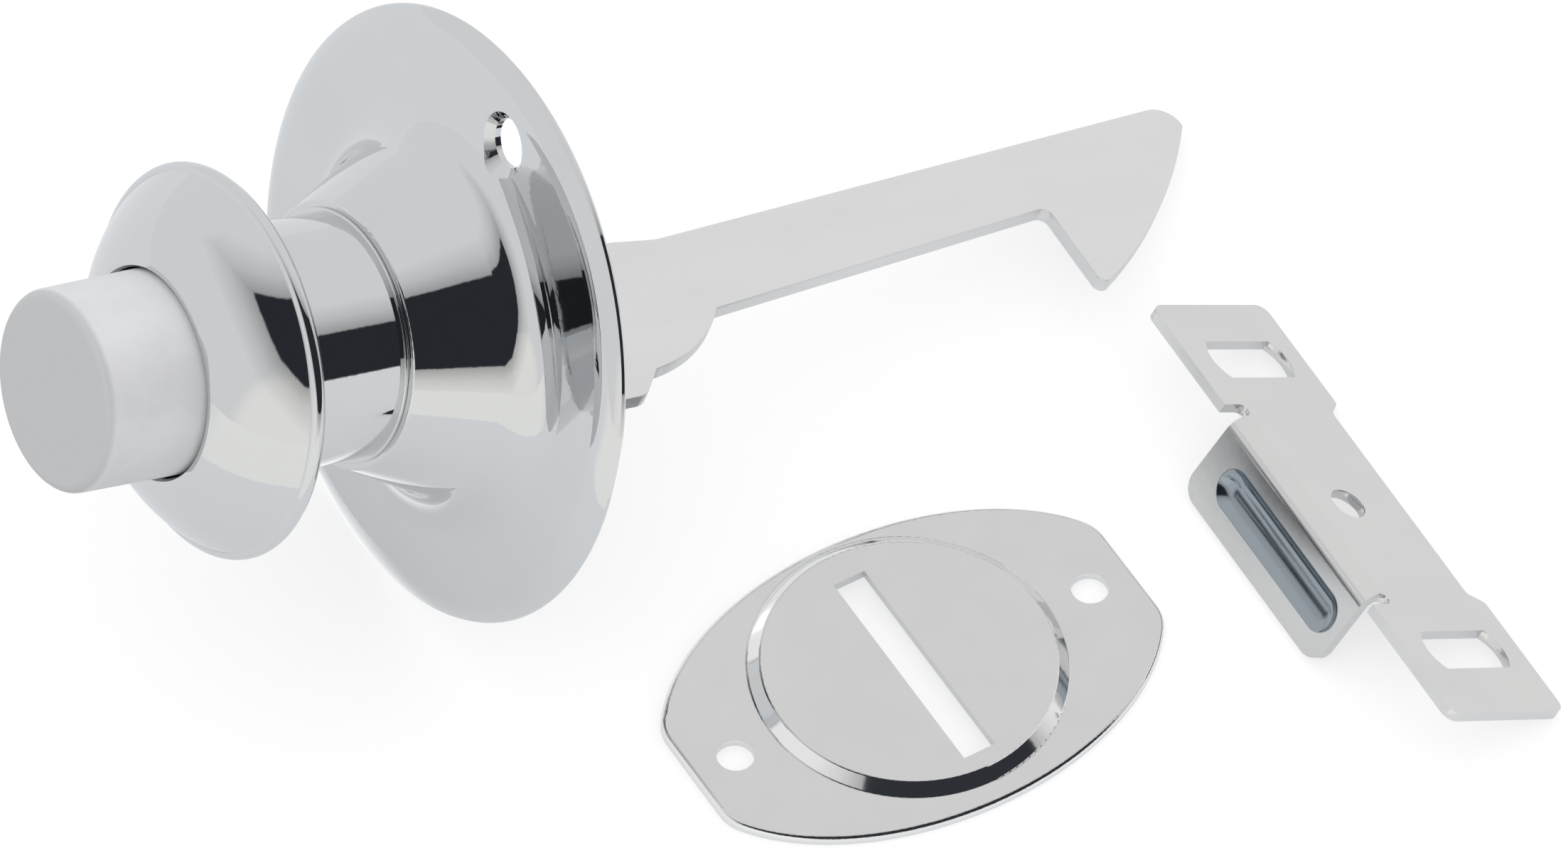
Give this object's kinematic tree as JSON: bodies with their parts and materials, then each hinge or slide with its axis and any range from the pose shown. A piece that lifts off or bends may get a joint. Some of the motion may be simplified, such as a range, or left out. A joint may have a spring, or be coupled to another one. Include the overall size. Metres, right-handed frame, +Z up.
{
  "type": "pushbutton catch",
  "caption": "Pushbutton catch: a bell-shaped rose with a pull knob, centre button and long hooked arm, with its slotted guide plate and bent strike.",
  "frame": {"origin": "on the flat surface that the set lies on, below the middle of its bounding box", "axes": "+X from the button towards the hook's end, level with the surface; +Z up from the surface; +Y the way that the hook lifts"},
  "size_m": [0.1208, 0.0962, 0.0524],
  "materials": {
    "chrome_plate": "mirror chrome",
    "button_satin": "fine satin",
    "steel_sheet": "plain rolled sheet",
    "steel_bright": "bright turned steel",
    "brass_turned": "turned",
    "spring_steel": "drawn wire",
    "pad_plastic": "moulded"
  },
  "bodies": {
    "catch": {"arm_spring": "spring_steel", "button_spring": "spring_steel", "clamp_grub_screw": "steel_bright", "clamp_washer": "steel_bright", "escutcheon_plate": "chrome_plate", "guide_bush": "brass_turned", "knob_body": "chrome_plate", "lock_washer": "spring_steel", "neck_collar": "chrome_plate", "pivot_pin": "steel_bright", "pivot_washer": "steel_bright", "pivot_yoke": "brass_turned", "rose": "chrome_plate", "spring_seat": "steel_bright", "strike_plate": "steel_sheet"},
    "button": {"button_cap": "button_satin", "plunger_stem": "steel_bright", "push_pad": "pad_plastic", "stem_clip": "spring_steel"},
    "arm": {"latch_arm": "steel_sheet"}
  },
  "joints": [
    {"name": "button_slide", "type": "slide", "parent": "catch", "child": "button", "axis": [0.9522, -0.0055, -0.3054], "range_m": [0, 0.0025], "stiffness_N_per_m": 600, "springref_m": -0.004, "deforming": ["button_spring"]},
    {"name": "arm_swing", "type": "hinge", "parent": "catch", "child": "arm", "pos_m": [-0.01283, 0.02704, 0.0242], "axis": [0.3054, -0.0018, 0.9522], "range_deg": [0, 14.78], "stiffness_Nm_per_rad": 0.08, "springref_deg": -17.19, "deforming": ["arm_spring"]}
  ],
  "couplings": [
    {"joint": "arm_swing", "follows": "button_slide", "rad_per_m": 103.12}
  ]
}
